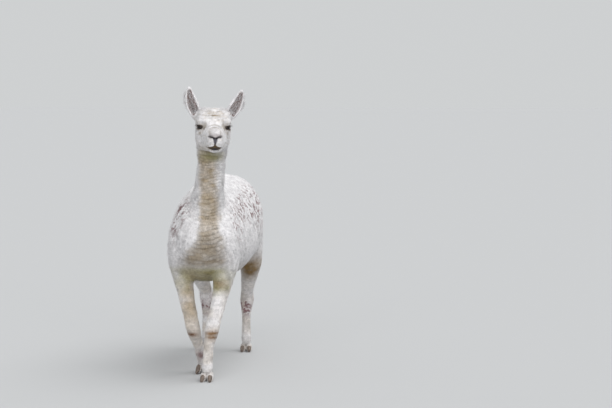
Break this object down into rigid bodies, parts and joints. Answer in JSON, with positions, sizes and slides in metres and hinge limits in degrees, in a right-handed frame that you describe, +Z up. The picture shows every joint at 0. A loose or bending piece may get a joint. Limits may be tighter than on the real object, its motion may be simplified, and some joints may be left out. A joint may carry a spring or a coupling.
{
  "type": "life-size alpaca, still model",
  "caption": "Life-size standing alpaca, freshly shorn, one forefoot forward, head turned a little to its left, ears up.",
  "frame": {"origin": "on the ground, under the middle of the animal's box", "axes": "+Z up, -Y forwards along the body, +X to the animal's own left"},
  "size_m": [0.4158, 1.0612, 1.3418],
  "materials": {
    "coat": "short shorn white fleece, dull",
    "skin": "thin bare skin, greyish pink, soft sheen",
    "eye": "wet gloss, near black",
    "nail": "worn horn, satin"
  },
  "bodies": {
    "root": {"ear_left": "skin", "ear_right": "skin", "eye_left": "eye", "eye_right": "eye", "foot_fore_left": "coat", "foot_fore_right": "coat", "foot_hind_left": "coat", "foot_hind_right": "coat", "head": "coat", "leg_fore_left_cannon": "coat", "leg_fore_left_upper": "coat", "leg_fore_right_cannon": "coat", "leg_fore_right_upper": "coat", "leg_hind_left_cannon": "coat", "leg_hind_left_upper": "coat", "leg_hind_right_cannon": "coat", "leg_hind_right_upper": "coat", "nail_fore_left_inner": "nail", "nail_fore_left_outer": "nail", "nail_fore_right_inner": "nail", "nail_fore_right_outer": "nail", "nail_hind_left_inner": "nail", "nail_hind_left_outer": "nail", "nail_hind_right_inner": "nail", "nail_hind_right_outer": "nail", "neck": "coat", "tail": "coat", "trunk": "coat"}
  },
  "joints": []
}
